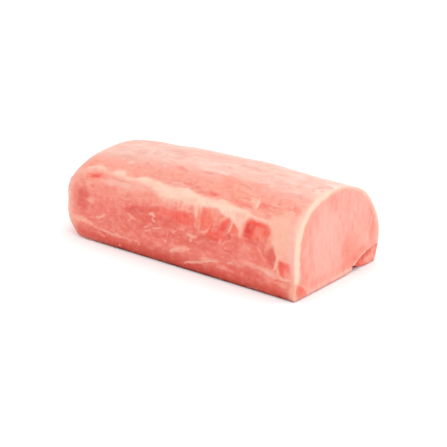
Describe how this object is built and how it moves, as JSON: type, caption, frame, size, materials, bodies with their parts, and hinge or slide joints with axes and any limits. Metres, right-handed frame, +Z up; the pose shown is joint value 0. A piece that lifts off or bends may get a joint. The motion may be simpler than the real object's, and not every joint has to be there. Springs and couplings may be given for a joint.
{
  "type": "boneless pork loin",
  "caption": "Raw boneless pork loin joint with a flat knife cut, a thin fat cap over the dome and a flat underside.",
  "frame": {"origin": "bottom centre of the bounding box, on the plane the joint rests on", "axes": "+X along the loin towards the flat knife cut, +Z up, -Y towards the side with the scalloped fat band"},
  "size_m": [0.2524, 0.1338, 0.079],
  "materials": {
    "loin_eye": "raw lean meat, pale pink, moist",
    "fat_cap": "thin fat and silverskin over lean meat, pink to cream, moist",
    "rib_strip": "raw lean meat, redder, moist",
    "chain_muscle": "raw lean meat, redder, moist"
  },
  "bodies": {
    "root": {"loin_eye": "loin_eye", "fat_cap": "fat_cap", "rib_strip": "rib_strip", "chain_muscle": "chain_muscle"}
  },
  "joints": []
}
